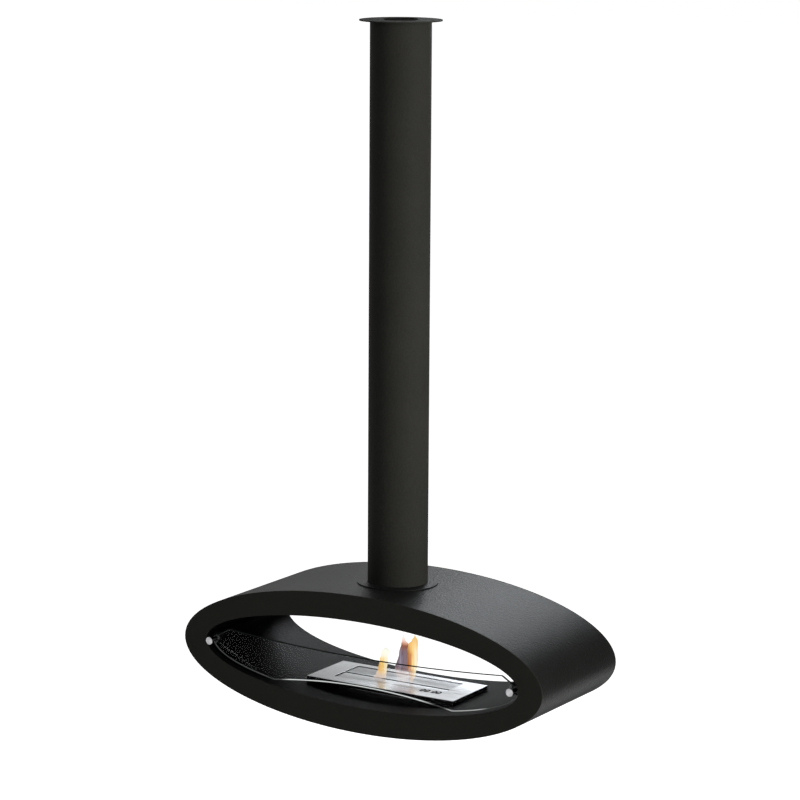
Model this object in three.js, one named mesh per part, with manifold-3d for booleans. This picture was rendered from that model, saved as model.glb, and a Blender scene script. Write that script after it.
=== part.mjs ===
// A hanging fireplace: an elliptical ring of black sheet steel, hung from the ceiling by a round tube.
// A burner insert for liquid fuel drops into a well in the bottom of the ring, and a glass pane
// stands in front of the flame, held by two knobs at the tips of the ellipse.
//
// Millimetres, +Z up, the front towards -Y. The origin is the centre of the ceiling plate's top face.
import * as THREE from "three";
import { mergeVertices } from "three/addons/utils/BufferGeometryUtils.js";
import Module from "manifold-3d";

const wasm = await Module();
wasm.setup();

// ---------------------------------------------------------------- driving dimensions

const SEAT_GAP = 0.3; // left between two pieces that rest on each other
const CEILING_TO_RING = 1563; // from the ceiling down to the centre of the ring

// The ring, a hollow box section bent into an ellipse.
const RING_WIDTH = 1038;
const RING_HEIGHT = 346;
const RING_DEPTH = 370;
const RING_BAND = 65; // how wide the flat band is round the opening
const FACE_SHEET = 3; // front and rear face
const SHELL_SHEET = 2;
const LINER_SHEET = 2;

// The tube and its ends.
const TUBE_DIAMETER = 150;
const TUBE_WALL = 2;
const PLATE_DIAMETER = 202;
const PLATE_SHEET = 3;
const PASSAGE_DIAMETER = 80; // hole in the middle of the ceiling plate
const LIP_WALL = 1.5;
const LIP_HEIGHT = 2; // turned-up edge of that hole
const SOCKET_WALL = 2.5;
const SOCKET_LENGTH = 60; // the sleeve that the tube slides over
const CEILING_HOLE_CIRCLE = 114;
const CEILING_HOLE_DIAMETER = 7;
const COLLAR_DIAMETER = 202;
const COLLAR_SHEET = 2.5;
const FOOT_PLATE_THICKNESS = 8;

// The clamp screws, at the back of the tube.
const CLAMP_SCREW_DIAMETER = 6;
const CLAMP_SCREW_LENGTH = 12;
const CLAMP_HEAD_DIAMETER = 10.5;
const CLAMP_HEAD_HEIGHT = 3.3;
const CLAMP_DROP = 33; // below the ceiling
const CLAMP_ANGLES = { left: 120, right: 60 }; // degrees from +X

// The four bolts that join the ring to the tube.
const HANGER_SPACING = 78;
const HANGER_DIAMETER = 8;
const HANGER_CLEARANCE = 0.6; // hole radius over bolt radius
const HANGER_FLATS = 13;
const HANGER_HEAD_HEIGHT = 5.3;
const HANGER_NUT_HEIGHT = 6.5;
const HANGER_THREAD_END = 3; // thread that stands out of the nut
const SPACER_DIAMETER = 16;
const BRIDGE_WIDTH = 130;
const BRIDGE_THICKNESS = 4;

// The ribs between shell and liner.
const RIB_OFFSET = 260;
const RIB_SHEET = 2;

// The pane and what holds it.
const PANE_THICKNESS = 5;
const PANE_RECESS = 20; // behind the front face
const PANE_EDGE_GAP = 7; // to the liner
const PANE_CORNER_TO_TIP = 57; // from the tip of the opening
const PANE_TOP_CORNER_Z = 29.5;
const PANE_TOP_MIDDLE = 13;
const PANE_AIR_GAP = 46.5; // below the middle of the pane
const PANE_BOTTOM_DROP = 22.5; // how far the bottom edge falls from the middle to the point below
const PANE_BOTTOM_DROP_AT = 268;
const STUD_TO_TIP = 18; // from the tip of the opening
const STUD_DIAMETER = 6;
const STUD_HOLE_GAP = 2;
const PANE_EAR_RADIUS = 11;
const WASHER_THICKNESS = 1.2;
const WASHER_DIAMETER = 16;
const KNOB_DIAMETER = 20;
const KNOB_HEAD = 6;
const KNOB_CHAMFER = 0.8;
const KNOB_NECK_DIAMETER = 12;
const KNOB_PROUD = 12; // how far the knob stands in front of the front face
const KNOB_THREAD_DEPTH = 9; // blind, from the end that presses on the washer
const STUD_ENGAGEMENT = 5; // stud inside the knob
const TAB_SHEET = 3;
const TAB_HEIGHT = 30;
const TAB_REACH = 32; // from the tip of the opening inwards

// The burner insert. Its housing rests on the liner with its two end edges.
const BURNER_LENGTH = 428;
const BURNER_WIDTH = 168;
const BURNER_HEIGHT = 13; // over its end edges
const TOP_PLATE_SHEET = 1.5;
const HOUSING_SHEET = 2;
const WINDOW_END_MARGIN = 59; // of the top plate
const WINDOW_FRONT_MARGIN = 34;
const WINDOW_BACK_MARGIN = 19;
const COVER_SHEET = 1.5;
const COVER_OVERLAP = 6;
const SLOT_BACK = 5; // fixed edge of the flame slot
const SLOT_WIDTH = 6; // as it stands open at rest
const SLIDE_EXTRA_OVERLAP = 0.5;
const SLIDE_SIDE_GAP = 0.6;
const RAIL_SHEET = 1.5;
const RAIL_LEDGE = 11;
const RAIL_END_GAP = 2;
const DIMPLE_DIAMETER = 9;
const DIMPLE_DEPTH = 0.8;
const DIMPLES_TO_END = [58, 45, 25, 12]; // from the right end of the window
const DIMPLES_TO_FRONT = 13;
const TANK_END_MARGIN = 10; // of the window
const TANK_SIDE_MARGIN = 32; // of the top plate
const TANK_SHEET = 1.5;
const TANK_DEPTH = 60; // below the top plate's face
const TANK_LIP = 7;
const TANK_GAP = 0.6; // to the housing round it
const PAD_HEIGHT = 28;
const PAD_SIDE_GAP = 0.5;
const WELL_GAP = 6.5; // between tank and well
const WELL_SHEET = 1.5;
const WELL_UNDER = 6.5;

// ---------------------------------------------------------------- derived dimensions

const OUTER = { a: RING_WIDTH / 2, b: RING_HEIGHT / 2 };
const INNER = { a: OUTER.a - RING_BAND, b: OUTER.b - RING_BAND };
const FRONT = -RING_DEPTH / 2;
const BACK = RING_DEPTH / 2;
const BOX_FRONT = FRONT + FACE_SHEET;
const BOX_BACK = BACK - FACE_SHEET;
const TUBE_RADIUS = TUBE_DIAMETER / 2;
const TUBE_BORE = TUBE_RADIUS - TUBE_WALL;
const TUBE_TOP = CEILING_TO_RING - PLATE_SHEET - SEAT_GAP;
const SOCKET_RADIUS = TUBE_BORE - SEAT_GAP;
const SOCKET_BORE = SOCKET_RADIUS - SOCKET_WALL;
const FOOT_TOP = OUTER.b + SEAT_GAP + FOOT_PLATE_THICKNESS;
const BRIDGE_TOP = ellipseHeight(inset(OUTER, SHELL_SHEET), BRIDGE_WIDTH / 2) - SEAT_GAP;
const BRIDGE_BOTTOM = BRIDGE_TOP - BRIDGE_THICKNESS;
const HANGER_HOLE = HANGER_DIAMETER / 2 + HANGER_CLEARANCE;
const STUD_OFFSET = INNER.a - STUD_TO_TIP;
const PANE_TOP_CORNER_X = INNER.a - PANE_CORNER_TO_TIP;
const PANE_BOTTOM_MIDDLE = PANE_AIR_GAP - INNER.b;
const PANE_FRONT = FRONT + PANE_RECESS;
const PANE_BACK = PANE_FRONT + PANE_THICKNESS;
const TAB_FRONT = PANE_BACK + WASHER_THICKNESS + 2 * SEAT_GAP;
const TAB_BACK = TAB_FRONT + TAB_SHEET;
const KNOB_FRONT = FRONT - KNOB_PROUD;
const KNOB_END = PANE_FRONT - WASHER_THICKNESS - 2 * SEAT_GAP;
const STUD_RADIUS = STUD_DIAMETER / 2;
const STUD_FIT = STUD_RADIUS + SEAT_GAP;
const STUD_FRONT = KNOB_END - STUD_ENGAGEMENT;
const HOUSING_BOTTOM = SEAT_GAP - ellipseHeight(INNER, BURNER_LENGTH / 2);
const BURNER_TOP = HOUSING_BOTTOM + BURNER_HEIGHT;
const PLATE_UNDERSIDE = BURNER_TOP - TOP_PLATE_SHEET;
const HOUSING_TOP = PLATE_UNDERSIDE - SEAT_GAP;
const HOUSING_FLOOR = HOUSING_BOTTOM + HOUSING_SHEET;
const WINDOW_LENGTH = BURNER_LENGTH - 2 * WINDOW_END_MARGIN;
const WINDOW_FRONT = WINDOW_FRONT_MARGIN - BURNER_WIDTH / 2;
const WINDOW_BACK = BURNER_WIDTH / 2 - WINDOW_BACK_MARGIN;
const COVER_TOP = PLATE_UNDERSIDE - SEAT_GAP;
const SLIDE_TOP = COVER_TOP - SEAT_GAP;
const SLIDE_BOTTOM = SLIDE_TOP - COVER_SHEET;
const LEDGE_TOP = SLIDE_BOTTOM - SEAT_GAP;
const COVER_HALF = WINDOW_LENGTH / 2 + COVER_OVERLAP;
const TANK_LENGTH = WINDOW_LENGTH - 2 * TANK_END_MARGIN;
const TANK_WIDTH = BURNER_WIDTH - 2 * TANK_SIDE_MARGIN;
const TANK_FLOOR = BURNER_TOP - TANK_DEPTH;
const TANK_LIP_BOTTOM = HOUSING_FLOOR + SEAT_GAP;

// ---------------------------------------------------------------- materials

function finish(color, roughness, metalness, extra = {}) {
  return new THREE.MeshStandardMaterial({ color, roughness, metalness, ...extra });
}

const BLACK_COAT = { color: 0x1c1c1b, roughness: 0.55, metalness: 0.1 };
const STAINLESS = { color: 0xb8b8bc, roughness: 0.32, metalness: 1 };
const ZINC = { color: 0x8e9092, roughness: 0.45, metalness: 1 };

const coated = () => finish(BLACK_COAT.color, BLACK_COAT.roughness, BLACK_COAT.metalness);
const stainless = () => finish(STAINLESS.color, STAINLESS.roughness, STAINLESS.metalness);
const zinc = () => finish(ZINC.color, ZINC.roughness, ZINC.metalness);
const glass = () => finish(0xdfe8e6, 0.05, 0, { transparent: true, opacity: 0.35 });
const silicone = () => finish(0x2a2b2b, 0.7, 0);
const ceramicFibre = () => finish(0xe6e1d6, 0.95, 0);

// ---------------------------------------------------------------- shapes and solids

const RING_STEPS = 64; // half the number of facets round an ellipse
const TUBE_STEPS = 32;
const SMALL_STEPS = 10;
const MERGE_TOLERANCE = 1e-4;

function inset(ellipse, distance) {
  return { a: ellipse.a - distance, b: ellipse.b - distance };
}

// Height of an ellipse above its centre, at x.
function ellipseHeight(ellipse, x) {
  return ellipse.b * Math.sqrt(1 - (x / ellipse.a) ** 2);
}

function ellipseShape(ellipse) {
  return new THREE.Shape().absellipse(0, 0, ellipse.a, ellipse.b, 0, 2 * Math.PI, false, 0);
}

function circleShape(radius, x = 0, y = 0) {
  return new THREE.Shape().absarc(x, y, radius, 0, 2 * Math.PI, false);
}

function rectShape(x0, x1, y0, y1) {
  const corners = [
    [x0, y0],
    [x1, y0],
    [x1, y1],
    [x0, y1],
  ];
  return new THREE.Shape(corners.map(([x, y]) => new THREE.Vector2(x, y)));
}

function centredRect(length, width) {
  return rectShape(-length / 2, length / 2, -width / 2, width / 2);
}

function hexagonShape(acrossFlats, x = 0, y = 0) {
  const radius = acrossFlats / Math.sqrt(3);
  const corners = [0, 1, 2, 3, 4, 5].map((i) => {
    const angle = (i * Math.PI) / 3;
    return new THREE.Vector2(x + radius * Math.cos(angle), y + radius * Math.sin(angle));
  });
  return new THREE.Shape(corners);
}

// A closed geometry as a solid that can be joined and cut.
function toSolid(geometry) {
  const bare = geometry.clone();
  bare.deleteAttribute("normal");
  bare.deleteAttribute("uv");
  const merged = mergeVertices(bare, MERGE_TOLERANCE);
  const mesh = new wasm.Mesh({
    numProp: 3,
    vertProperties: merged.attributes.position.array,
    triVerts: new Uint32Array(merged.index.array),
  });
  return new wasm.Manifold(mesh);
}

function toGeometry(solid) {
  const { vertProperties, triVerts } = solid.getMesh();
  const geometry = new THREE.BufferGeometry();
  geometry.setAttribute("position", new THREE.BufferAttribute(vertProperties, 3));
  geometry.setIndex(new THREE.BufferAttribute(triVerts, 1));
  geometry.computeVertexNormals();
  return geometry;
}

// A shape raised from z = low to z = high.
function prism(shape, low, high, curveSegments = SMALL_STEPS) {
  const options = { depth: high - low, bevelEnabled: false, curveSegments };
  const geometry = new THREE.ExtrudeGeometry(shape, options);
  geometry.translate(0, 0, low);
  return toSolid(geometry);
}

// A shape drawn in X and Z, carried from y = front to y = back.
function prismY(shape, front, back, curveSegments = SMALL_STEPS) {
  const options = { depth: back - front, bevelEnabled: false, curveSegments };
  const geometry = new THREE.ExtrudeGeometry(shape, options);
  geometry.rotateX(Math.PI / 2);
  geometry.translate(0, back, 0);
  return toSolid(geometry);
}

function cut(solid, ...tools) {
  return tools.reduce((left, tool) => left.subtract(tool), solid);
}

// A round tube, or a washer, from z = low to z = high.
function pipe(outer, bore, low, high, curveSegments = SMALL_STEPS) {
  const inside = prism(circleShape(bore), low - 1, high + 1, curveSegments);
  return cut(prism(circleShape(outer), low, high, curveSegments), inside);
}

// A full elliptical cylinder that runs past the ring at both faces.
function ellipseTool(ellipse) {
  return prismY(ellipseShape(ellipse), FRONT - 10, BACK + 10, RING_STEPS);
}

function addPiece(group, name, solid, material) {
  const piece = new THREE.Mesh(toGeometry(solid), material);
  piece.name = name;
  group.add(piece);
  return piece;
}

function hangerPlaces() {
  const h = HANGER_SPACING / 2;
  return [
    [-h, -h],
    [h, -h],
    [h, h],
    [-h, h],
  ];
}

function hangerHoles(low, high) {
  return hangerPlaces().map(([x, y]) => prism(circleShape(HANGER_HOLE, x, y), low, high));
}

// ---------------------------------------------------------------- ceiling plate and tube

function clampHole(angle, z) {
  const geometry = new THREE.CylinderGeometry(
    CLAMP_SCREW_DIAMETER / 2 + SEAT_GAP,
    CLAMP_SCREW_DIAMETER / 2 + SEAT_GAP,
    TUBE_DIAMETER / 4,
    2 * SMALL_STEPS,
  );
  geometry.rotateZ(Math.PI / 2);
  geometry.translate(TUBE_RADIUS, 0, 0);
  geometry.rotateZ(THREE.MathUtils.degToRad(angle));
  geometry.translate(0, 0, z);
  return toSolid(geometry);
}

function clampHoles(z) {
  return Object.values(CLAMP_ANGLES).map((angle) => clampHole(angle, z));
}

function ceilingPlate() {
  const passage = PASSAGE_DIAMETER / 2;
  const disc = pipe(PLATE_DIAMETER / 2, passage, -PLATE_SHEET, 0, TUBE_STEPS);
  const lip = pipe(passage + LIP_WALL, passage, -PLATE_SHEET, LIP_HEIGHT, TUBE_STEPS);
  const socketEnd = -PLATE_SHEET - SOCKET_LENGTH;
  const socket = pipe(SOCKET_RADIUS, SOCKET_BORE, socketEnd, -PLATE_SHEET / 2, TUBE_STEPS);
  const holes = [45, 135, 225, 315].map((angle) => {
    const turn = THREE.MathUtils.degToRad(angle);
    const x = (CEILING_HOLE_CIRCLE / 2) * Math.cos(turn);
    const y = (CEILING_HOLE_CIRCLE / 2) * Math.sin(turn);
    return prism(circleShape(CEILING_HOLE_DIAMETER / 2, x, y), -PLATE_SHEET - 1, 1);
  });
  return cut(disc.add(lip).add(socket), ...holes, ...clampHoles(-CLAMP_DROP));
}

// Along X, with the underside of its head at x = 0.
function clampScrew() {
  const head = new THREE.CylinderGeometry(
    CLAMP_HEAD_DIAMETER / 2,
    CLAMP_HEAD_DIAMETER / 2,
    CLAMP_HEAD_HEIGHT,
    2 * SMALL_STEPS,
  );
  head.translate(0, CLAMP_HEAD_HEIGHT / 2, 0);
  const shank = new THREE.CylinderGeometry(
    CLAMP_SCREW_DIAMETER / 2,
    CLAMP_SCREW_DIAMETER / 2,
    CLAMP_SCREW_LENGTH + 1,
    2 * SMALL_STEPS,
  );
  shank.translate(0, 1 - (CLAMP_SCREW_LENGTH + 1) / 2, 0);
  const solid = toSolid(head).add(toSolid(shank));
  const geometry = toGeometry(solid);
  geometry.rotateZ(-Math.PI / 2);
  return toSolid(geometry);
}

function hangingTube() {
  const tube = pipe(TUBE_RADIUS, TUBE_BORE, OUTER.b / 2, TUBE_TOP, TUBE_STEPS);
  const shellClear = ellipseTool(inset(OUTER, -SEAT_GAP));
  return cut(tube, shellClear, ...clampHoles(CEILING_TO_RING - CLAMP_DROP));
}

function footPlate() {
  const disc = prism(circleShape(TUBE_BORE - SEAT_GAP), OUTER.b / 2, FOOT_TOP, TUBE_STEPS);
  const shellClear = ellipseTool(inset(OUTER, -SEAT_GAP));
  return cut(disc, shellClear, ...hangerHoles(OUTER.b / 2, FOOT_TOP + 1));
}

// A thin round plate that is bent to lie on the shell.
function footCollar() {
  const round = pipe(
    COLLAR_DIAMETER / 2,
    TUBE_RADIUS + SEAT_GAP,
    OUTER.b / 2,
    OUTER.b + COLLAR_DIAMETER / 2,
    TUBE_STEPS,
  );
  const under = ellipseTool(inset(OUTER, -SEAT_GAP));
  const over = ellipseTool(inset(OUTER, -SEAT_GAP - COLLAR_SHEET));
  return cut(round.intersect(over), under);
}

// ---------------------------------------------------------------- ring

function band(outer, inner, front, back) {
  const shape = ellipseShape(outer);
  shape.holes.push(ellipseShape(inner));
  return prismY(shape, front, back, RING_STEPS);
}

function outerShell() {
  const shell = band(OUTER, inset(OUTER, SHELL_SHEET), BOX_FRONT, BOX_BACK);
  return cut(shell, ...hangerHoles(0, OUTER.b + 1));
}

function wellRect(extra) {
  return centredRect(TANK_LENGTH + 2 * (WELL_GAP + extra), TANK_WIDTH + 2 * (WELL_GAP + extra));
}

function innerLiner() {
  const liner = band(inset(INNER, -LINER_SHEET), INNER, BOX_FRONT, BOX_BACK);
  const burnerHole = prism(wellRect(0), -OUTER.b, 0);
  return cut(liner, burnerHole, ...hangerHoles(0, OUTER.b));
}

function burnerWell() {
  const bottom = TANK_FLOOR - WELL_UNDER - WELL_SHEET;
  const box = prism(wellRect(WELL_SHEET), bottom, -INNER.b / 2);
  const hollow = prism(wellRect(0), bottom + WELL_SHEET, 0);
  return cut(box, hollow, ellipseTool(inset(INNER, -LINER_SHEET - SEAT_GAP)));
}

function bridgePlate() {
  const length = BOX_BACK - BOX_FRONT - 2 * SEAT_GAP;
  const plate = prism(centredRect(BRIDGE_WIDTH, length), BRIDGE_BOTTOM, BRIDGE_TOP);
  return cut(plate, ...hangerHoles(BRIDGE_BOTTOM - 1, BRIDGE_TOP + 1));
}

// side is -1 for the left and 1 for the right, level is 1 for the top and -1 for the bottom.
function rib(side, level) {
  const near = RIB_OFFSET - RIB_SHEET / 2;
  const far = RIB_OFFSET + RIB_SHEET / 2;
  const low = ellipseHeight(inset(INNER, -LINER_SHEET), near) + SEAT_GAP;
  const high = ellipseHeight(inset(OUTER, SHELL_SHEET), far) - SEAT_GAP;
  const shape = rectShape(side * near, side * far, level * low, level * high);
  return prismY(shape, BOX_FRONT + SEAT_GAP, BOX_BACK - SEAT_GAP);
}

// ---------------------------------------------------------------- hanger bolts

const HANGER_SEAT =
  ellipseHeight(INNER, HANGER_SPACING / 2 + HANGER_FLATS / Math.sqrt(3)) - SEAT_GAP;
const HANGER_NUT_BOTTOM = FOOT_TOP + SEAT_GAP;
const HANGER_END = HANGER_NUT_BOTTOM + HANGER_NUT_HEIGHT + HANGER_THREAD_END;

function hangerBolt() {
  const head = prism(hexagonShape(HANGER_FLATS), HANGER_SEAT - HANGER_HEAD_HEIGHT, HANGER_SEAT);
  const shank = prism(circleShape(HANGER_DIAMETER / 2), HANGER_SEAT - 1, HANGER_END);
  return head.add(shank);
}

function hangerNut() {
  const top = HANGER_NUT_BOTTOM + HANGER_NUT_HEIGHT;
  const bore = circleShape(HANGER_DIAMETER / 2 + SEAT_GAP);
  return cut(
    prism(hexagonShape(HANGER_FLATS), HANGER_NUT_BOTTOM, top),
    prism(bore, HANGER_NUT_BOTTOM - 1, top + 1),
  );
}

function hangerSpacer() {
  const outerLiner = inset(INNER, -LINER_SHEET);
  const innermost = HANGER_SPACING / 2 - SPACER_DIAMETER / 2;
  const low = ellipseHeight(outerLiner, innermost) + SEAT_GAP;
  return pipe(SPACER_DIAMETER / 2, HANGER_HOLE, low, BRIDGE_BOTTOM - SEAT_GAP);
}

// ---------------------------------------------------------------- pane and knobs

function glassPane() {
  const curve = PANE_BOTTOM_DROP / PANE_BOTTOM_DROP_AT ** 2;
  const bottomHalf = INNER.a * 0.75;
  const bottomEnd = PANE_BOTTOM_MIDDLE - curve * bottomHalf ** 2;
  const tip = STUD_OFFSET + PANE_EAR_RADIUS;
  const outline = new THREE.Shape();
  outline.moveTo(-PANE_TOP_CORNER_X, PANE_TOP_CORNER_Z);
  outline.lineTo(-tip, 0);
  outline.lineTo(-tip, bottomEnd);
  outline.lineTo(-bottomHalf, bottomEnd);
  outline.quadraticCurveTo(0, 2 * PANE_BOTTOM_MIDDLE - bottomEnd, bottomHalf, bottomEnd);
  outline.lineTo(tip, bottomEnd);
  outline.lineTo(tip, 0);
  outline.lineTo(PANE_TOP_CORNER_X, PANE_TOP_CORNER_Z);
  const topControl = 2 * PANE_TOP_MIDDLE - PANE_TOP_CORNER_Z;
  outline.quadraticCurveTo(0, topControl, -PANE_TOP_CORNER_X, PANE_TOP_CORNER_Z);
  const sheet = prismY(outline, PANE_FRONT, PANE_BACK, RING_STEPS / 2);
  let pane = sheet.intersect(ellipseTool(inset(INNER, PANE_EDGE_GAP)));
  for (const side of [-1, 1]) {
    const x = side * STUD_OFFSET;
    const hole = circleShape(STUD_RADIUS + STUD_HOLE_GAP, x, 0);
    pane = pane.add(prismY(circleShape(PANE_EAR_RADIUS, x, 0), PANE_FRONT, PANE_BACK));
    pane = pane.subtract(prismY(hole, PANE_FRONT - 1, PANE_BACK + 1));
  }
  return pane;
}

function paneTab(side) {
  const tip = side * INNER.a;
  const shape = rectShape(tip - side * TAB_REACH, tip, -TAB_HEIGHT / 2, TAB_HEIGHT / 2);
  const blank = prismY(shape, TAB_FRONT, TAB_BACK);
  const hole = circleShape(STUD_FIT, side * STUD_OFFSET, 0);
  const seated = blank.intersect(ellipseTool(inset(INNER, SEAT_GAP)));
  return cut(seated, prismY(hole, TAB_FRONT - 1, TAB_BACK + 1));
}

// These three stand on the axis of the left or the right stud, which is x = 0, z = 0 here.
function paneStud() {
  return prismY(circleShape(STUD_RADIUS), STUD_FRONT, TAB_BACK + STUD_DIAMETER / 2);
}

function paneWasher(front) {
  const disc = prismY(circleShape(WASHER_DIAMETER / 2), front, front + WASHER_THICKNESS);
  return cut(disc, prismY(circleShape(STUD_FIT), front - 1, front + WASHER_THICKNESS + 1));
}

function glassKnob() {
  const head = KNOB_DIAMETER / 2;
  const neck = KNOB_NECK_DIAMETER / 2;
  const profile = [
    [0, KNOB_FRONT],
    [head - KNOB_CHAMFER, KNOB_FRONT],
    [head, KNOB_FRONT + KNOB_CHAMFER],
    [head, KNOB_FRONT + KNOB_HEAD],
    [neck, KNOB_FRONT + KNOB_HEAD],
    [neck, KNOB_END],
    [STUD_FIT, KNOB_END],
    [STUD_FIT, KNOB_END - KNOB_THREAD_DEPTH],
    [0, KNOB_END - KNOB_THREAD_DEPTH],
  ].map(([radius, y]) => new THREE.Vector2(radius, y));
  return toSolid(new THREE.LatheGeometry(profile, 4 * SMALL_STEPS));
}

// ---------------------------------------------------------------- burner insert

function burnerHousing() {
  const box = prism(centredRect(BURNER_LENGTH, BURNER_WIDTH), HOUSING_BOTTOM, HOUSING_TOP);
  const insideLength = BURNER_LENGTH - 2 * HOUSING_SHEET;
  const insideWidth = BURNER_WIDTH - 2 * HOUSING_SHEET;
  const hollow = prism(centredRect(insideLength, insideWidth), HOUSING_FLOOR, HOUSING_TOP + 1);
  const hole = centredRect(TANK_LENGTH + 2 * TANK_GAP, TANK_WIDTH + 2 * TANK_GAP);
  return cut(box, hollow, prism(hole, HOUSING_BOTTOM - 1, HOUSING_FLOOR + 1));
}

function burnerTopPlate() {
  const half = WINDOW_LENGTH / 2;
  const plate = prism(centredRect(BURNER_LENGTH, BURNER_WIDTH), PLATE_UNDERSIDE, BURNER_TOP);
  const window = rectShape(-half, half, WINDOW_FRONT, WINDOW_BACK);
  return cut(plate, prism(window, PLATE_UNDERSIDE - 1, BURNER_TOP + 1));
}

function burnerTank() {
  const rim = TANK_LIP_BOTTOM + TANK_SHEET;
  const body = prism(centredRect(TANK_LENGTH, TANK_WIDTH), TANK_FLOOR, rim);
  const lipRect = centredRect(TANK_LENGTH + 2 * TANK_LIP, TANK_WIDTH + 2 * TANK_LIP);
  const hollowRect = centredRect(TANK_LENGTH - 2 * TANK_SHEET, TANK_WIDTH - 2 * TANK_SHEET);
  const lip = prism(lipRect, TANK_LIP_BOTTOM, rim);
  return cut(body.add(lip), prism(hollowRect, TANK_FLOOR + TANK_SHEET, rim + 1));
}

function fibrePad() {
  const margin = 2 * (TANK_SHEET + PAD_SIDE_GAP);
  const low = TANK_FLOOR + TANK_SHEET + SEAT_GAP;
  return prism(centredRect(TANK_LENGTH - margin, TANK_WIDTH - margin), low, low + PAD_HEIGHT);
}

function fixedCover() {
  const back = WINDOW_BACK + COVER_OVERLAP;
  const shape = rectShape(-COVER_HALF, COVER_HALF, SLOT_BACK, back);
  return prism(shape, COVER_TOP - COVER_SHEET, COVER_TOP);
}

function regulatorSlide() {
  const front = WINDOW_FRONT - COVER_OVERLAP - SLIDE_EXTRA_OVERLAP;
  const shape = rectShape(-COVER_HALF, COVER_HALF, front, SLOT_BACK - SLOT_WIDTH);
  const dimples = DIMPLES_TO_END.map((distance) => {
    const x = WINDOW_LENGTH / 2 - distance;
    const y = WINDOW_FRONT + DIMPLES_TO_FRONT;
    const dimple = circleShape(DIMPLE_DIAMETER / 2, x, y);
    return prism(dimple, SLIDE_TOP - DIMPLE_DEPTH, SLIDE_TOP + 1);
  });
  return cut(prism(shape, SLIDE_BOTTOM, SLIDE_TOP), ...dimples);
}

// A folded strip: the slide runs on its ledge, and its web guides the slide's end.
function slideRail(side) {
  const webIn = COVER_HALF + SLIDE_SIDE_GAP;
  const webOut = webIn + RAIL_SHEET;
  const web = rectShape(side * webIn, side * webOut, HOUSING_FLOOR + SEAT_GAP, COVER_TOP);
  const ledge = rectShape(
    side * (webOut - RAIL_LEDGE),
    side * webOut,
    LEDGE_TOP - RAIL_SHEET,
    LEDGE_TOP,
  );
  const reach = BURNER_WIDTH / 2 - HOUSING_SHEET - RAIL_END_GAP;
  return prismY(web, -reach, reach).add(prismY(ledge, -reach, reach));
}

// ---------------------------------------------------------------- assembly

const SIDES = { left: -1, right: 1 };
const LEVELS = { bottom: -1, top: 1 };

function buildCeilingEnd() {
  const group = new THREE.Group();
  addPiece(group, "ceiling_plate", ceilingPlate(), coated());
  for (const [side, angle] of Object.entries(CLAMP_ANGLES)) {
    const turn = THREE.MathUtils.degToRad(angle);
    const screw = addPiece(group, `clamp_screw_${side}`, clampScrew(), coated());
    const seat = TUBE_RADIUS + SEAT_GAP;
    screw.position.set(seat * Math.cos(turn), seat * Math.sin(turn), -CLAMP_DROP);
    screw.rotation.z = turn;
  }
  return group;
}

function buildRing() {
  const group = new THREE.Group();
  addPiece(group, "hanging_tube", hangingTube(), coated());
  addPiece(group, "tube_foot_plate", footPlate(), coated());
  addPiece(group, "foot_collar", footCollar(), coated());
  addPiece(group, "outer_shell", outerShell(), coated());
  addPiece(group, "inner_liner", innerLiner(), coated());
  addPiece(group, "front_face", band(OUTER, INNER, FRONT, BOX_FRONT), coated());
  addPiece(group, "rear_face", band(OUTER, INNER, BOX_BACK, BACK), coated());
  addPiece(group, "bridge_plate", bridgePlate(), zinc());
  addPiece(group, "burner_well", burnerWell(), zinc());
  for (const [level, up] of Object.entries(LEVELS)) {
    for (const [side, out] of Object.entries(SIDES)) {
      addPiece(group, `rib_${level}_${side}`, rib(out, up), zinc());
    }
  }
  return group;
}

function buildHangers() {
  const group = new THREE.Group();
  hangerPlaces().forEach(([x, y], index) => {
    const place = new THREE.Group();
    place.position.set(x, y, 0);
    addPiece(place, `hanger_bolt_${index + 1}`, hangerBolt(), zinc());
    addPiece(place, `hanger_nut_${index + 1}`, hangerNut(), zinc());
    addPiece(place, `hanger_spacer_${index + 1}`, hangerSpacer(), zinc());
    group.add(place);
  });
  return group;
}

function buildPane() {
  const group = new THREE.Group();
  addPiece(group, "glass_pane", glassPane(), glass());
  for (const [side, out] of Object.entries(SIDES)) {
    addPiece(group, `pane_tab_${side}`, paneTab(out), coated());
    const axis = new THREE.Group();
    axis.position.set(out * STUD_OFFSET, 0, 0);
    addPiece(axis, `pane_stud_${side}`, paneStud(), zinc());
    addPiece(axis, `washer_front_${side}`, paneWasher(KNOB_END + SEAT_GAP), silicone());
    addPiece(axis, `washer_back_${side}`, paneWasher(PANE_BACK + SEAT_GAP), silicone());
    addPiece(axis, `glass_knob_${side}`, glassKnob(), stainless());
    group.add(axis);
  }
  return group;
}

function buildBurner() {
  const group = new THREE.Group();
  addPiece(group, "burner_housing", burnerHousing(), coated());
  addPiece(group, "burner_top_plate", burnerTopPlate(), stainless());
  addPiece(group, "burner_tank", burnerTank(), stainless());
  addPiece(group, "fibre_pad", fibrePad(), ceramicFibre());
  addPiece(group, "fixed_cover", fixedCover(), stainless());
  addPiece(group, "regulator_slide", regulatorSlide(), stainless());
  for (const [side, out] of Object.entries(SIDES)) {
    addPiece(group, `slide_rail_${side}`, slideRail(out), stainless());
  }
  return group;
}

const fireplace = new THREE.Group();
const ring = new THREE.Group();
ring.position.z = -CEILING_TO_RING;
ring.add(buildRing(), buildHangers(), buildPane(), buildBurner());
fireplace.add(buildCeilingEnd(), ring);

export default fireplace;
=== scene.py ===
"""A hanging fireplace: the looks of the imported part, its camera, its studio and its light."""

import math

import bmesh
import bpy
from mathutils import Matrix, Vector


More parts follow.
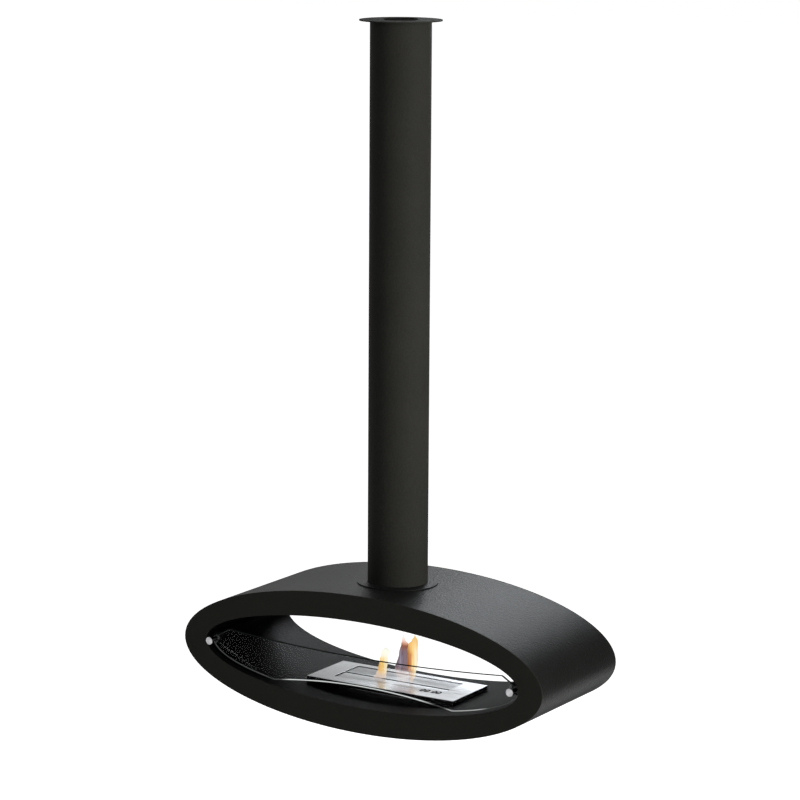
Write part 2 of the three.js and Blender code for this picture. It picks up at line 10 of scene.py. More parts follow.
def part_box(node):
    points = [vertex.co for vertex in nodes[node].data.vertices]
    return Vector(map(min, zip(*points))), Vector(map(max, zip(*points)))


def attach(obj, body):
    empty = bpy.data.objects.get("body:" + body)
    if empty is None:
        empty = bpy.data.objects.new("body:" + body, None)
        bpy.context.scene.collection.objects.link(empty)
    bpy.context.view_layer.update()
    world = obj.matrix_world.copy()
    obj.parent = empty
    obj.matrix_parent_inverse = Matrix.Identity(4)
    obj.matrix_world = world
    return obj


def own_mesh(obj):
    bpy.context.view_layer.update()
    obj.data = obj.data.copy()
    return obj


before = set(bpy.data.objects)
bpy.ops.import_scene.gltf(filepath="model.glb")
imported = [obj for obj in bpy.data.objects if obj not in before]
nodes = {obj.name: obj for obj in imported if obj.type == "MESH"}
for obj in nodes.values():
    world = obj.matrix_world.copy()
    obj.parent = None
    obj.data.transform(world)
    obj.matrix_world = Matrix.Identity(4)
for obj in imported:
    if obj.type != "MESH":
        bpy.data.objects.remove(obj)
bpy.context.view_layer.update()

scene = bpy.context.scene
collection = scene.collection
scene.view_settings.view_transform = "Standard"


# ---------------------------------------------------------------- camera

PHOTO_SIZE = 800  # pixels
FOCAL_PIXELS = 3124.5
SENSOR = 36.0  # mm
CAMERA_PLACE = Vector((3.99688, -6.41813, 0.46724))
CAMERA_YAW = math.radians(31.8896)
CAMERA_PITCH = math.radians(10.4821)
CAMERA_ROLL = math.radians(0.3436)
CAMERA_CLIP = (0.05, 100)


def make_camera():
    """The photo's camera, from the place and angles that were fitted to it."""
    level = math.cos(CAMERA_PITCH)
    forward = Vector(
        (-math.sin(CAMERA_YAW) * level, math.cos(CAMERA_YAW) * level, -math.sin(CAMERA_PITCH))
    )
    right = Vector((math.cos(CAMERA_YAW), math.sin(CAMERA_YAW), 0))
    up = right.cross(forward)
    c, s = math.cos(CAMERA_ROLL), math.sin(CAMERA_ROLL)
    turn = Matrix((c * right + s * up, -s * right + c * up, -forward)).transposed()
    data = bpy.data.cameras.new("camera")
    data.sensor_width = SENSOR
    data.lens = FOCAL_PIXELS * SENSOR / PHOTO_SIZE
    data.clip_start, data.clip_end = CAMERA_CLIP
    camera = bpy.data.objects.new("camera", data)
    camera.matrix_world = Matrix.Translation(CAMERA_PLACE) @ turn.to_4x4()
    collection.objects.link(camera)
    scene.camera = camera


make_camera()


# ---------------------------------------------------------------- material helpers

NOISE_LOW, NOISE_HIGH = 0.3, 0.7  # most of a noise lies between them


def greys(*stops):
    """A ramp's stops in grey, from pairs of place and level."""
    return [(place, (level, level, level)) for place, level in stops]


class Nodes:
    """A material's node tree, with its Principled shader."""

    def __init__(self, name):
        self.material = bpy.data.materials.new(name)
        self.material.use_nodes = True
        self.tree = self.material.node_tree
        self.shader = self.tree.nodes["Principled BSDF"]
        self.place = self.add("ShaderNodeTexCoord").outputs["Object"]

    def add(self, kind, **settings):
        node = self.tree.nodes.new(kind)
        for key, value in settings.items():
            setattr(node, key, value)
        return node

    def link(self, output, socket):
        self.tree.links.new(output, socket)

    def feed(self, name, output):
        """Link an output to the shader's input of that name."""
        self.link(output, self.shader.inputs[name])

    def set(self, **values):
        for key, value in values.items():
            self.shader.inputs[key.replace("_", " ")].default_value = value

    def stretched(self, scale, turn=(0, 0, 0)):
        mapping = self.add("ShaderNodeMapping")
        mapping.inputs["Scale"].default_value = scale
        mapping.inputs["Rotation"].default_value = turn
        self.link(self.place, mapping.inputs["Vector"])
        return mapping.outputs["Vector"]

    def noise(self, scale, detail=3, roughness=0.5, place=None, distortion=0):
        node = self.add("ShaderNodeTexNoise")
        node.inputs["Scale"].default_value = scale
        node.inputs["Detail"].default_value = detail
        node.inputs["Roughness"].default_value = roughness
        node.inputs["Distortion"].default_value = distortion
        self.link(place or self.place, node.inputs["Vector"])
        return node.outputs["Fac"]

    def range(self, value, low, high, to_low=0, to_high=1):
        node = self.add("ShaderNodeMapRange")
        for key, number in (
            ("From Min", low),
            ("From Max", high),
            ("To Min", to_low),
            ("To Max", to_high),
        ):
            node.inputs[key].default_value = number
        self.link(value, node.inputs["Value"])
        return node.outputs["Result"]

    def ramp(self, value, stops, wanted="Color"):
        """The colour at value, from stops of place and colour, or with wanted="Alpha" its share."""
        node = self.add("ShaderNodeValToRGB")
        elements = node.color_ramp.elements
        while len(elements) < len(stops):
            elements.new(0.5)
        for element, (position, colour) in zip(elements, stops):
            element.position = position
            element.color = colour if len(colour) == 4 else (*colour, 1)
        self.link(value, node.inputs["Fac"])
        return node.outputs[wanted]

    def math(self, operation, a, b):
        node = self.add("ShaderNodeMath", operation=operation)
        for socket, value in zip(node.inputs, (a, b)):
            if isinstance(value, (int, float)):
                socket.default_value = value
            else:
                self.link(value, socket)
        return node.outputs[0]

    def sum(self, a, share_a, b, share_b):
        return self.math("ADD", self.math("MULTIPLY", a, share_a), self.math("MULTIPLY", b, share_b))

    def mix(self, a, b, blend="MULTIPLY", share=1.0):
        node = self.add("ShaderNodeMixRGB", blend_type=blend)
        if isinstance(share, float):
            node.inputs["Fac"].default_value = share
        else:
            self.link(share, node.inputs["Fac"])
        self.link(a, node.inputs["Color1"])
        self.link(b, node.inputs["Color2"])
        return node.outputs["Color"]

    def axis(self, source, letter):
        node = self.add("ShaderNodeSeparateXYZ")
        self.link(source, node.inputs["Vector"])
        return node.outputs[letter]

    def colour(self, value, *stops):
        self.feed("Base Color", self.ramp(value, stops))

    def rough(self, value, ends, low=NOISE_LOW, high=NOISE_HIGH):
        self.feed("Roughness", self.range(value, low, high, *ends))

    def bump(self, height, distance, strength=1.0, normal=None):
        node = self.add("ShaderNodeBump")
        node.inputs["Distance"].default_value = distance
        node.inputs["Strength"].default_value = strength
        self.link(height, node.inputs["Height"])
        if normal:
            self.link(normal, node.inputs["Normal"])
        self.feed("Normal", node.outputs["Normal"])
        return node.outputs["Normal"]


# ---------------------------------------------------------------- kinds of material

ALONG_X = (6, 420, 420)  # a noise's scale on each axis, for brushed lines along X
ALONG_Z = (420, 420, 8)
BELOW_DARK = 0.16  # of the steel's own colour, below the slide's top face
BELOW_DARK_FADE = 0.0002  # metres over which it ends
KNOB_SIDE_SHADE = 0.06  # of the steel's own colour, painted shade on a knob's side
KNOB_FACE = (0.6, 0.8)  # how far along Y a normal points where a knob's side becomes its face
# painted light: the glow given to the pane's edges that face down, though they are no lamp
PAINTED_EDGE_GLOW = (0.6, 0.63, 0.62)
EDGE_SKEW = 0.3  # how much an edge of the pane that faces right counts as facing up
EDGE_FADE = 0.1
PANE_HALF = 0.4  # metres on each side of the middle that the painted glow along the pane goes over
# painted light: how strong the edges' painted glow is along the pane, from left to right
PAINTED_GLOW_ALONG_PANE = greys(
    (0.2, 0.08),
    (0.235, 1),
    (0.715, 1),
    (0.76, 0.06),
    (0.795, 0.06),
    (0.81, 0.6),
    (0.92, 0.6),
    (0.95, 0.08),
)


def powder_coat(name, dark, light, grain, rough, peel, specular):
    """Black powder coat: fine speckles and soft clouds, over orange peel."""
    n = Nodes(name)
    speckle = n.noise(grain, detail=4, roughness=0.7)
    cloud = n.noise(7, detail=3, roughness=0.55)
    n.colour(n.sum(speckle, 0.75, cloud, 0.25), (0.36, dark), (0.62, light))
    n.rough(speckle, rough)
    n.set(Specular_IOR_Level=specular, IOR=1.5)
    coarse = n.bump(n.noise(grain * 0.5, detail=2), peel * 2)
    n.bump(n.noise(grain * 1.7, detail=3), peel, normal=coarse)
    return n.material


def brushed_steel(name, dark, light, rough, lines=ALONG_X, dark_below=None):
    """Brushed stainless steel with faint smears, and darker below a height, when one is given."""
    n = Nodes(name)
    brushing = n.noise(1.0, detail=5, roughness=0.65, place=n.stretched(lines))
    smear = n.noise(9, detail=4, roughness=0.6, distortion=0.6)
    mixed = n.sum(brushing, 0.6, smear, 0.4)
    colour = n.ramp(mixed, [(0.33, dark), (0.66, light)])
    # darker below the height: on the slide, its dimples and its sides
    if dark_below is not None:
        height = n.range(n.axis(n.place, "Z"), dark_below - BELOW_DARK_FADE, dark_below)
        colour = n.mix(colour, n.ramp(height, greys((0, BELOW_DARK), (1, 1))))
    n.feed("Base Color", colour)
    n.rough(mixed, rough)
    n.set(Metallic=1.0, Anisotropic=0.5)
    n.bump(brushing, 0.00006, 0.5)
    return n.material


def turned_steel(name, dark, light, rough):
    """Stainless steel turned on a lathe, with a bright end face and its side darkened as painted
    shade.
    """
    n = Nodes(name)
    marks = n.noise(900, detail=2)
    smear = n.noise(160, detail=3)
    normal = n.add("ShaderNodeNewGeometry").outputs["True Normal"]
    face = n.range(n.math("ABSOLUTE", n.axis(normal, "Y"), 0), *KNOB_FACE)
    steel = n.ramp(smear, [(0.35, dark), (0.65, light)])
    # painted shade: the knob's side made much darker than its face
    n.feed("Base Color", n.mix(steel, n.ramp(face, greys((0, KNOB_SIDE_SHADE), (1, 1)))))
    n.rough(marks, rough)
    n.set(Metallic=1.0)
    n.bump(marks, 0.00004, 0.4)
    return n.material


def zinc_plate(name):
    """Zinc plate with small spangles."""
    n = Nodes(name)
    cells = n.add("ShaderNodeTexVoronoi")
    cells.inputs["Scale"].default_value = 220
    n.link(n.place, cells.inputs["Vector"])
    cloud = n.noise(14, detail=4)
    mixed = n.sum(cells.outputs["Distance"], 0.5, cloud, 0.6)
    n.colour(mixed, (0.25, (0.2, 0.205, 0.21)), (0.7, (0.36, 0.365, 0.37)))
    n.rough(cloud, (0.32, 0.5))
    n.set(Metallic=1.0)
    n.bump(cloud, 0.0001, 0.4)
    return n.material


def pane_glass(name):
    """Clear, barely reflecting glass with faint smears."""
    n = Nodes(name)
    smear = n.noise(6, detail=4, roughness=0.6, distortion=0.8)
    n.colour(smear, (0.3, (0.93, 0.95, 0.945)), (0.7, (0.98, 0.99, 0.985)))
    n.rough(smear, (0.0, 0.03), 0.45, 0.8)
    n.set(IOR=1.3, Specular_Tint=(0, 0, 0, 1), Transmission_Weight=1.0)
    return n.material


def pane_edge(name):
    """The pane's ground edges: dark above, and below a painted glow that stands in for light leaving
    the glass, stronger or weaker along the pane.
    """
    n = Nodes(name)
    grit = n.noise(900, detail=2)
    n.colour(grit, (0.3, (0.008, 0.01, 0.009)), (0.7, (0.018, 0.022, 0.02)))
    n.rough(grit, (0.55, 0.75))
    geometry = n.add("ShaderNodeNewGeometry")
    normal = geometry.outputs["True Normal"]
    lean = n.math("ADD", n.axis(normal, "Z"), n.math("MULTIPLY", n.axis(normal, "X"), EDGE_SKEW))
    outward = n.math("SUBTRACT", 1, n.math("MULTIPLY", geometry.outputs["Backfacing"], 2))
    upward = n.range(n.math("MULTIPLY", lean, outward), -EDGE_FADE, EDGE_FADE)
    along = n.ramp(n.range(n.axis(n.place, "X"), -PANE_HALF, PANE_HALF), PAINTED_GLOW_ALONG_PANE)
    # painted glow: emission on the edges that face down, shaped along the pane
    n.feed("Emission Color", n.mix(n.ramp(upward, [(0, PAINTED_EDGE_GLOW), (1, (0, 0, 0))]), along))
    n.set(Specular_IOR_Level=0.0, Emission_Strength=1.0)
    return n.material


def silicone(name):
    """Dark rubber with a fine grain."""
    n = Nodes(name)
    grain = n.noise(700, detail=3)
    n.colour(grain, (0.3, (0.012, 0.0125, 0.0125)), (0.7, (0.024, 0.025, 0.025)))
    n.rough(grain, (0.6, 0.78))
    n.bump(grain, 0.0001, 0.5)
    return n.material


def ceramic_felt(name):
    """Pale felt of long fibres that lie askew."""
    n = Nodes(name)
    place = n.stretched((260, 900, 500), turn=(0.3, 0.2, 0.7))
    fibres = n.noise(1.0, detail=6, roughness=0.75, place=place, distortion=1.2)
    n.colour(fibres, (0.3, (0.55, 0.5, 0.42)), (0.65, (0.82, 0.79, 0.72)))
    n.set(Roughness=0.95, Sheen_Weight=0.2)
    n.bump(fibres, 0.0008, 0.7)
    return n.material


# ---------------------------------------------------------------- materials on the solids

SLIDE_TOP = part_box("regulator_slide")[1][2]

# One black powder coat in copies, each with its darkness fitted to how bright its part looks in this
# light: painted light and shade.
FRONT_COAT = powder_coat(
    "coat_smooth",
    dark=(0.0092, 0.0095, 0.0079),
    light=(0.0122, 0.0124, 0.0104),
    grain=420,
    rough=(0.6, 0.7),
    peel=0.00004,
    specular=0.045,
)
SHELL_COAT = powder_coat(
    "coat_grained",
    dark=(0.0035, 0.0037, 0.0035),
    light=(0.0075, 0.0078, 0.0075),
    grain=330,
    rough=(0.36, 0.46),
    peel=0.00045,
    specular=0.043,
)
# painted shade: the liner's copy of the black coat is made the darkest
LINER_COAT_SHADED = powder_coat(
    "coat_liner_painted_shade",
    dark=(0.0008, 0.0009, 0.001),
    light=(0.002, 0.0021, 0.0024),
    grain=330,
    rough=(0.36, 0.46),
    peel=0.0004,
    specular=0.019,
)
# painted light: the tube's copy of the black coat is made the lightest
TUBE_COAT_LIT = powder_coat(
    "coat_tube_painted_light",
    dark=(0.0132, 0.0132, 0.0116),
    light=(0.0198, 0.0197, 0.0176),
    grain=420,
    rough=(0.5, 0.6),
    peel=0.0003,
    specular=0.008,
)
HOUSING_COAT = powder_coat(
    "coat_housing",
    dark=(0.002, 0.002, 0.0023),
    light=(0.004, 0.004, 0.0044),
    grain=420,
    rough=(0.5, 0.6),
    peel=0.00006,
    specular=0.04,
)
MARK_COAT = powder_coat(
    "coat_mark",
    dark=(0.0008, 0.0008, 0.0009),
    light=(0.0016, 0.0016, 0.0018),
    grain=420,
    rough=(0.8, 0.9),
    peel=0.00004,
    specular=0.0,
)
TOP_STEEL = brushed_steel("steel_top", (0.3, 0.3, 0.31), (0.42, 0.42, 0.435), (0.24, 0.32))
COVER_STEEL = brushed_steel("steel_cover", (0.2, 0.2, 0.21), (0.29, 0.29, 0.3), (0.28, 0.36))
SLIDE_STEEL = brushed_steel(
    "steel_slide",
    (0.27, 0.27, 0.28),
    (0.39, 0.39, 0.4),
    (0.28, 0.36),
    # darker in its dimples and on its sides, below its top face
    dark_below=SLIDE_TOP - BELOW_DARK_FADE,
)
TANK_STEEL = brushed_steel("steel_tank", (0.3, 0.3, 0.31), (0.48, 0.48, 0.49), (0.34, 0.5), ALONG_Z)
KNOB_STEEL = turned_steel("steel_knob_shaded_side", (0.3, 0.3, 0.31), (0.45, 0.45, 0.46), (0.24, 0.36))
ZINC = zinc_plate("zinc")
GLASS = pane_glass("glass")
# the pane's edges, with a painted glow on those that face down
GLASS_EDGE_PAINTED_GLOW = pane_edge("glass_edge_painted_glow")
SILICONE = silicone("silicone")
FELT = ceramic_felt("ceramic_felt")

LOOKS = (  # by how the node's name starts
    (TUBE_COAT_LIT, ("ceiling_plate", "hanging_tube", "tube_foot_plate")),
    (SHELL_COAT, ("foot_collar", "outer_shell")),
    (LINER_COAT_SHADED, ("inner_liner",)),
    (FRONT_COAT, ("front_face", "rear_face")),
    (GLASS, ("glass_pane",)),
    (HOUSING_COAT, ("clamp_screw", "pane_tab", "burner_housing")),
    (KNOB_STEEL, ("glass_knob",)),
    (TOP_STEEL, ("burner_top_plate",)),
    (TANK_STEEL, ("burner_tank", "slide_rail")),
    (FELT, ("fibre_pad",)),
    (COVER_STEEL, ("fixed_cover",)),
    (SLIDE_STEEL, ("regulator_slide",)),
    (SILICONE, ("washer",)),
    (ZINC, ("",)),
)
EDGE_ROUND = {  # metres
    "glass_pane": 0.0023,
    "burner_top_plate": 0.0004,
    "front_face": 0.0007,
    "rear_face": 0.0007,
}
OTHER_ROUND = 0.0003
SHARP_ANGLE = math.radians(28)
WELD_REACH = 0.00001


def smoother():
    """A node group that shades round walls smooth and leaves edges over SHARP_ANGLE sharp."""
    group = bpy.data.node_groups.new("smooth_by_angle", "GeometryNodeTree")
    for way in ("INPUT", "OUTPUT"):
        group.interface.new_socket("Geometry", in_out=way, socket_type="NodeSocketGeometry")
    start = group.nodes.new("NodeGroupInput")
    end = group.nodes.new("NodeGroupOutput")
    faces = group.nodes.new("GeometryNodeSetShadeSmooth")
    faces.domain = "FACE"
    edges = group.nodes.new("GeometryNodeSetShadeSmooth")
    edges.domain = "EDGE"
    edges.inputs["Shade Smooth"].default_value = False
    angle = group.nodes.new("GeometryNodeInputMeshEdgeAngle")
    sharp = group.nodes.new("FunctionNodeCompare")
    sharp.data_type = "FLOAT"
    sharp.operation = "GREATER_THAN"
    sharp.inputs[1].default_value = SHARP_ANGLE
    for output, socket in (
        (angle.outputs["Unsigned Angle"], sharp.inputs[0]),
        (sharp.outputs[0], edges.inputs["Selection"]),
        (start.outputs[0], faces.inputs[0]),
        (faces.outputs[0], edges.inputs[0]),
        (edges.outputs[0], end.inputs[0]),
    ):
        group.links.new(output, socket)
    return group


SMOOTHER = smoother()


def dress(name, node):
    """Give a solid its material, rounded edges and smooth round walls."""
    material = next(look for look, starts in LOOKS if name.startswith(starts))
    clear = material is GLASS
    node.data.materials.clear()
    node.data.materials.append(material)
    weld = node.modifiers.new("weld", "WELD")
    weld.merge_threshold = WELD_REACH
    bevel = node.modifiers.new("edge", "BEVEL")
    bevel.width = EDGE_ROUND.get(name, OTHER_ROUND)
    bevel.segments = 3 if clear else 2
    bevel.limit_method = "ANGLE"
    bevel.angle_limit = SHARP_ANGLE
    bevel.use_clamp_overlap = not clear  # it would shrink the pane's rounding everywhere
    if clear:  # flat, as smooth corners would bend what is seen through it
        node.data.materials.append(GLASS_EDGE_PAINTED_GLOW)
        bevel.material = 1
        return
    smooth = node.modifiers.new("smooth", "NODES")
    smooth.node_group = SMOOTHER
    flat = node.modifiers.new("flat", "WEIGHTED_NORMAL")
    flat.keep_sharp = True
    flat.weight = 100


for name, node in nodes.items():
    dress(name, node)


# ---------------------------------------------------------------- pieces that aren't solids


def close_loops(bm, loops):
    """Faces between each loop of vertices and the next."""
    for one, two in loops:
        for k in range(len(one)):
            j = (k + 1) % len(one)
            bm.faces.new((one[k], one[j], two[j], two[k]))


def make_piece(name, bm, material):
    """A smooth object of the mesh built in bm."""
    for face in bm.faces:
        face.smooth = True
    mesh = bpy.data.meshes.new(name)
    bm.to_mesh(mesh)
    bm.free()
    mesh.materials.append(material)
    piece = bpy.data.objects.new(name, mesh)
    collection.objects.link(piece)
    return piece


# ---------------------------------------------------------------- flames

FLAME_FOOT = SLIDE_TOP + 0.0016
FLAME_DEPTH = 0.55  # of the width
FLAME_RINGS = 44
FLAME_SIDES = 30
DEEP_FOLD = 0.1  # of the ring's radius
FINE_FOLD = 0.06
SWAY = 0.003  # metres front to back
STREAKS = (260, 260, 22)  # a noise's scale on each axis


def fire(name, low, high, heights, sides, solid):
    """A flame's own light between two corners of X and Z. Sides colours it across, heights over that
    from foot to tip, each stop with the share that it covers, and solid is its density by height."""
    n = Nodes(name)
    streaks = n.noise(1.0, detail=3, roughness=0.6, place=n.stretched(STREAKS), distortion=0.4)
    wave = n.math("MULTIPLY", n.math("SUBTRACT", streaks, 0.5), 0.7)
    across = n.range(n.axis(n.place, "X"), low[0], high[0])
    up = n.range(n.axis(n.place, "Z"), low[1], high[1])
    height = n.math("ADD", up, n.math("MULTIPLY", wave, 0.2))
    wide = n.ramp(n.math("ADD", across, n.math("MULTIPLY", wave, 0.6)), sides)
    tall = n.ramp(height, heights)
    n.feed("Emission Color", n.mix(wide, tall, "MIX", n.ramp(height, heights, "Alpha")))
    n.set(Base_Color=(0, 0, 0, 1), Roughness=1.0, Specular_IOR_Level=0.0, Emission_Strength=1.0)
    thin = n.range(streaks, NOISE_LOW, NOISE_HIGH, 0.75, 1)
    n.feed("Alpha", n.math("MULTIPLY", n.ramp(up, greys(*solid)), thin))
    return n.material


def profile_at(profile, height):
    """The middle and half width at a height, of a profile of (height, left, right) rows."""
    rows = zip(profile, profile[1:])
    (z0, l0, r0), (z1, l1, r1) = next(pair for pair in rows if height <= pair[1][0])
    t = (height - z0) / (z1 - z0)
    t = t * t * (3 - 2 * t)
    left = l0 + (l1 - l0) * t
    right = r0 + (r1 - r0) * t
    return (left + right) / 2, (right - left) / 2


def flame_ring(y, profile, folds, share):
    """The points round a flame at that share of its height."""
    top = profile[-1][0]
    middle, half = profile_at(profile, top * share)
    sway = SWAY * math.sin(4 * share)
    ring = []
    for k in range(FLAME_SIDES):
        a = math.tau * k / FLAME_SIDES
        deep = DEEP_FOLD * math.sin(folds * a + 5 * share)
        fine = FINE_FOLD * math.sin((folds + 3) * a - 9 * share)
        fold = 1 + deep + fine
        x = middle + half * fold * math.cos(a)
        depth = half * FLAME_DEPTH * fold * math.sin(a)
        ring.append((x, y + depth + sway, FLAME_FOOT + top * share))
    return ring


def flame(name, y, profile, folds, heights, sides, solid):
    """One tongue of flame over the slot: a closed stack of folded rings. Its profile is in metres."""
    bm = bmesh.new()
    rings = []
    for i in range(FLAME_RINGS + 1):
        points = flame_ring(y, profile, folds, i / FLAME_RINGS)
        rings.append([bm.verts.new(point) for point in points])
    close_loops(bm, zip(rings, rings[1:]))
    bm.faces.new(list(reversed(rings[0])))
    bm.faces.new(rings[-1])
    top = profile[-1][0]
    low = (min(row[1] for row in profile), FLAME_FOOT)
    high = (max(row[2] for row in profile), FLAME_FOOT + top)
    piece = make_piece(name, bm, fire(name, low, high, heights, sides, solid))
    piece.visible_shadow = False
    foot = (profile_at(profile, top)[0], y, FLAME_FOOT)
    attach(piece, "burner")
    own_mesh(piece)


flame(
    "flame_small",
    y=0.002,
    profile=[
        (0, -0.071, -0.037),
        (0.008, -0.063, -0.036),
        (0.024, -0.057, -0.034),
        (0.045, -0.053, -0.031),
        (0.06, -0.048, -0.027),
        (0.072, -0.044, -0.025),
        (0.078, -0.039, -0.028),
        (0.081, -0.0345, -0.0335),
    ],
    folds=3,
    heights=[
        (0, (0.75, 0.6, 0.58, 0.8)),
        (0.15, (0.95, 0.75, 0.6, 0.5)),
        (0.3, (1, 0.7, 0.3, 0)),
        (0.58, (1, 0.85, 0.45, 0.3)),
        (0.72, (0.98, 0.96, 0.78, 0.85)),
        (0.9, (0.9, 0.93, 0.75, 0.9)),
        (1, (0.62, 0.65, 0.48, 1)),
    ],
    sides=[
        (0.12, (0.95, 0.9, 0.8)),
        (0.35, (0.8, 0.42, 0.1)),
        (0.6, (1, 0.62, 0.17)),
        (0.88, (1, 0.92, 0.7)),
    ],
    solid=[(0, 0.4), (0.2, 0.75), (0.6, 0.9), (0.8, 0.6), (1, 0.5)],
)
flame(
    "flame_lilac",
    y=0.003,
    profile=[
        (0, 0.002, 0.029),
        (0.028, -0.006, 0.031),
        (0.07, 0.002, 0.031),
        (0.098, 0.01, 0.0305),
        (0.106, 0.0125, 0.022),
        (0.118, 0.0145, 0.0195),
        (0.128, 0.0158, 0.0164),
    ],
    folds=4,
    heights=[
        (0.05, (0.95, 0.75, 0.68, 1)),
        (0.2, (0.8, 0.62, 0.6, 0.9)),
        (0.26, (0.3, 0.18, 0.2, 0.3)),
        (0.35, (0.2, 0.15, 0.2, 0)),
        (0.6, (0.3, 0.15, 0.12, 0.1)),
        (0.72, (0.26, 0.065, 0.02, 1)),
        (0.8, (0.8, 0.42, 0.3, 1)),
        (0.9, (0.95, 0.75, 0.65, 1)),
    ],
    sides=[
        (0, (0.13, 0.09, 0.11)),
        (0.3, (0.17, 0.11, 0.14)),
        (0.5, (0.3, 0.26, 0.34)),
        (0.62, (0.13, 0.075, 0.1)),
        (0.85, (0.22, 0.13, 0.15)),
        (1, (0.2, 0.08, 0.04)),
    ],
    solid=[(0, 0.12), (0.2, 0.3), (0.27, 0.92), (0.74, 0.95), (0.82, 0.55), (0.95, 0.35)],
)
flame(
    "flame_yellow",
    y=0.002,
    profile=[
        (0, 0.0375, 0.0435),
        (0.023, 0.034, 0.051),
        (0.043, 0.028, 0.055),
        (0.08, 0.0295, 0.058),
        (0.1, 0.034, 0.0595),
        (0.109, 0.043, 0.0595),
        (0.126, 0.0512, 0.0522),
    ],
    folds=3,
    heights=[
        (0.05, (0.9, 0.7, 0.6, 0.8)),
        (0.2, (0.9, 0.75, 0.6, 0.4)),
        (0.35, (1, 1, 1, 0)),
        (0.6, (1, 0.75, 0.3, 0.1)),
        (0.78, (1, 0.62, 0.18, 0.7)),
        (0.92, (0.85, 0.5, 0.15, 0.9)),
        (1, (0.9, 0.7, 0.4, 1)),
    ],
    sides=[
        (0.2, (0.42, 0.12, 0.02)),
        (0.38, (0.6, 0.22, 0.04)),
        (0.5, (0.95, 0.5, 0.1)),
        (0.66, (1, 0.8, 0.35)),
        (0.82, (1, 0.92, 0.68)),
        (0.97, (0.88, 0.68, 0.48)),
    ],
    solid=[(0, 0.25), (0.2, 0.6), (0.3, 0.92), (0.95, 0.92)],
)


# ---------------------------------------------------------------- marks on the regulator slide

MARK_X = (0.097, 0.11, 0.13, 0.143)  # the dimples that they ring
MARK_Y = -0.0345
MARK_OUTER = 0.0064
MARK_INNER = 0.0034
MARK_LONG = 2.1  # its length front to back over its width
MARK_HEIGHT = 0.00015
MARK_SIDES = 40
MARK_STEPS = 6  # across the band


def ring_mark(name, x):
    """A thin dark oval round one dimple, with a rounded top."""
    bm = bmesh.new()
    middle, half = (MARK_OUTER + MARK_INNER) / 2, (MARK_OUTER - MARK_INNER) / 2
    loops = []
    for i in range(MARK_STEPS + 1):
        slope = math.pi * i / MARK_STEPS
        radius = middle + half * math.cos(slope)
        z = SLIDE_TOP + MARK_HEIGHT * math.sin(slope)
        loop = []
        for k in range(MARK_SIDES):
            a = math.tau * k / MARK_SIDES
            y = MARK_Y + MARK_LONG * radius * math.sin(a)
            loop.append(bm.verts.new((x + radius * math.cos(a), y, z)))
        loops.append(loop)
    close_loops(bm, zip(loops, loops[1:] + loops[:1]))
    bmesh.ops.recalc_face_normals(bm, faces=bm.faces)
    piece = make_piece(name, bm, MARK_COAT)
    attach(piece, "regulator")


for number, x in enumerate(MARK_X, 1):
    ring_mark(f"slide_mark_{number}", x)


# ---------------------------------------------------------------- studio

FLOOR_Z = -2.75
FLOOR_REACH = 40
FLOOR_GLOW = 0.81  # with the fill on it, just white
WORLD_FILL = 0.24
CARDS = (  # corners
    ((-0.6, 3, -2.7), (3.5, 3, -2.7), (3.5, 3, 1.4), (0.25, 3, 1.4)),
    ((-5, 3, -2.7), (-1, 3, -2.7), (-1, 3, -1.3), (-5, 3, -1.3)),
    ((-0.7, 0.9, -2.74), (0.3, 0.9, -2.74), (0.3, 3, -2.74), (-0.7, 3, -2.74)),
)


def shown(tree):
    """1 on the rays that show the background: the camera's, reflected ones and those in glass."""
    path = tree.nodes.new("ShaderNodeLightPath")
    either = path.outputs["Is Camera Ray"]
    for kind in ("Is Glossy Ray", "Is Transmission Ray"):
        node = tree.nodes.new("ShaderNodeMath")
        node.operation = "MAXIMUM"
        tree.links.new(either, node.inputs[0])
        tree.links.new(path.outputs[kind], node.inputs[1])
        either = node.outputs[0]
    return either


def make_sheet(name, corners, material):
    """A flat backdrop with four corners."""
    mesh = bpy.data.meshes.new(name)
    mesh.from_pydata(corners, [], [(0, 1, 2, 3)])
    mesh.materials.append(material)
    sheet = bpy.data.objects.new(name, mesh)
    collection.objects.link(sheet)
    return sheet


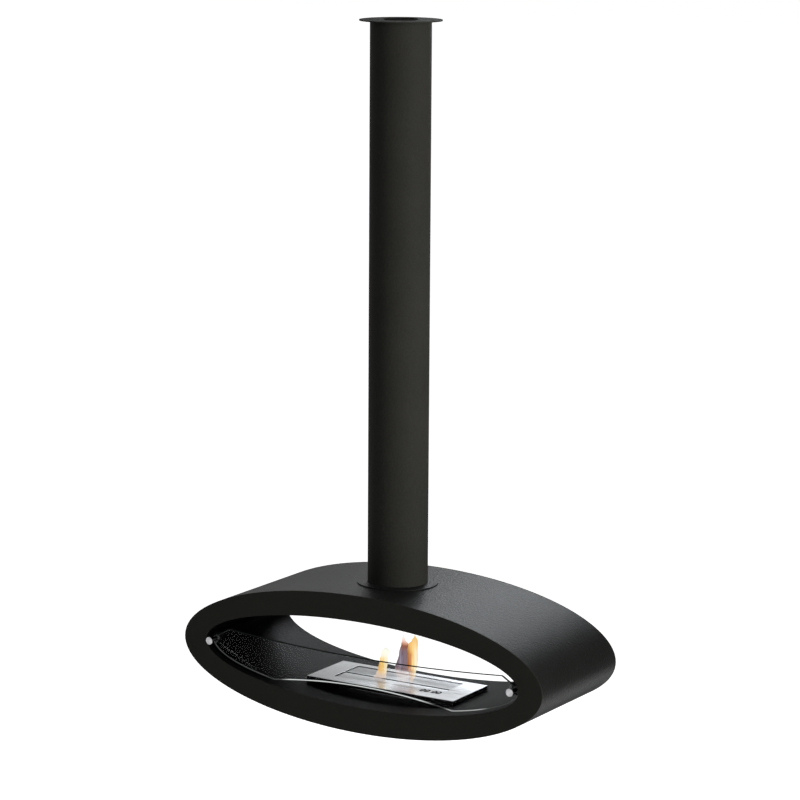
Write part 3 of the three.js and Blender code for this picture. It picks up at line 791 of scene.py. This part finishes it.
def make_floor():
    """A pale floor that looks white, and keeps the part's shadow."""
    n = Nodes("floor")
    n.colour(n.noise(0.6, detail=2), *greys((0.3, 0.9), (0.7, 0.93)))
    n.set(Roughness=0.9, Specular_IOR_Level=0.1, Emission_Color=(1, 1, 1, 1))
    n.feed("Emission Strength", n.math("MULTIPLY", shown(n.tree), FLOOR_GLOW))
    signs = ((-1, -1), (1, -1), (1, 1), (-1, 1))
    corners = [(x * FLOOR_REACH, y * FLOOR_REACH, FLOOR_Z) for x, y in signs]
    make_sheet("floor", corners, n.material)


def make_card(corners):
    """A black card behind the part. Only reflections see it, as a real studio's dark side."""
    n = Nodes("card")
    n.colour(n.noise(2, detail=2), *greys((0.3, 0.008), (0.7, 0.012)))
    n.set(Roughness=1.0, Specular_IOR_Level=0.0)
    card = make_sheet("card", corners, n.material)
    for kind in ("camera", "diffuse", "transmission", "volume_scatter", "shadow"):
        setattr(card, "visible_" + kind, False)


make_floor()
for corners in CARDS:
    make_card(corners)


def make_world():
    """White where it is seen, and a weak even fill on the part."""
    world = bpy.data.worlds.new("studio")
    scene.world = world
    world.use_nodes = True
    tree = world.node_tree
    tree.nodes.clear()
    output = tree.nodes.new("ShaderNodeOutputWorld")
    mix = tree.nodes.new("ShaderNodeMixShader")
    tree.links.new(shown(tree), mix.inputs[0])
    for socket, strength in ((mix.inputs[1], WORLD_FILL), (mix.inputs[2], 1.0)):
        light = tree.nodes.new("ShaderNodeBackground")
        light.inputs["Color"].default_value = (1, 1, 1, 1)
        light.inputs["Strength"].default_value = strength
        tree.links.new(light.outputs[0], socket)
    tree.links.new(mix.outputs[0], output.inputs["Surface"])


make_world()


def area_light(name, place, target, size, power, colour=(1, 1, 1)):
    """A soft lamp of size width and height in metres, aimed at target."""
    data = bpy.data.lights.new(name, "AREA")
    data.color = colour
    data.shape = "RECTANGLE"
    data.size, data.size_y = size
    data.energy = power
    light = bpy.data.objects.new(name, data)
    light.location = place
    aim = Vector(target) - Vector(place)
    light.rotation_mode = "QUATERNION"
    light.rotation_quaternion = aim.to_track_quat("-Z", "Y")
    light.visible_camera = False
    collection.objects.link(light)


area_light("key", (4.0, -0.35, -0.4), (0, 0, -0.8), (1.6, 3.0), 285, (1, 0.99, 0.96))
area_light("front", (1.8, -4.2, 1.2), (0, 0, -1.3), (1.8, 1.8), 35)
area_light("back", (-0.85, 3.1, 0.2), (0, 0, -1.5), (1.5, 0.8), 46, (0.9, 0.95, 1))
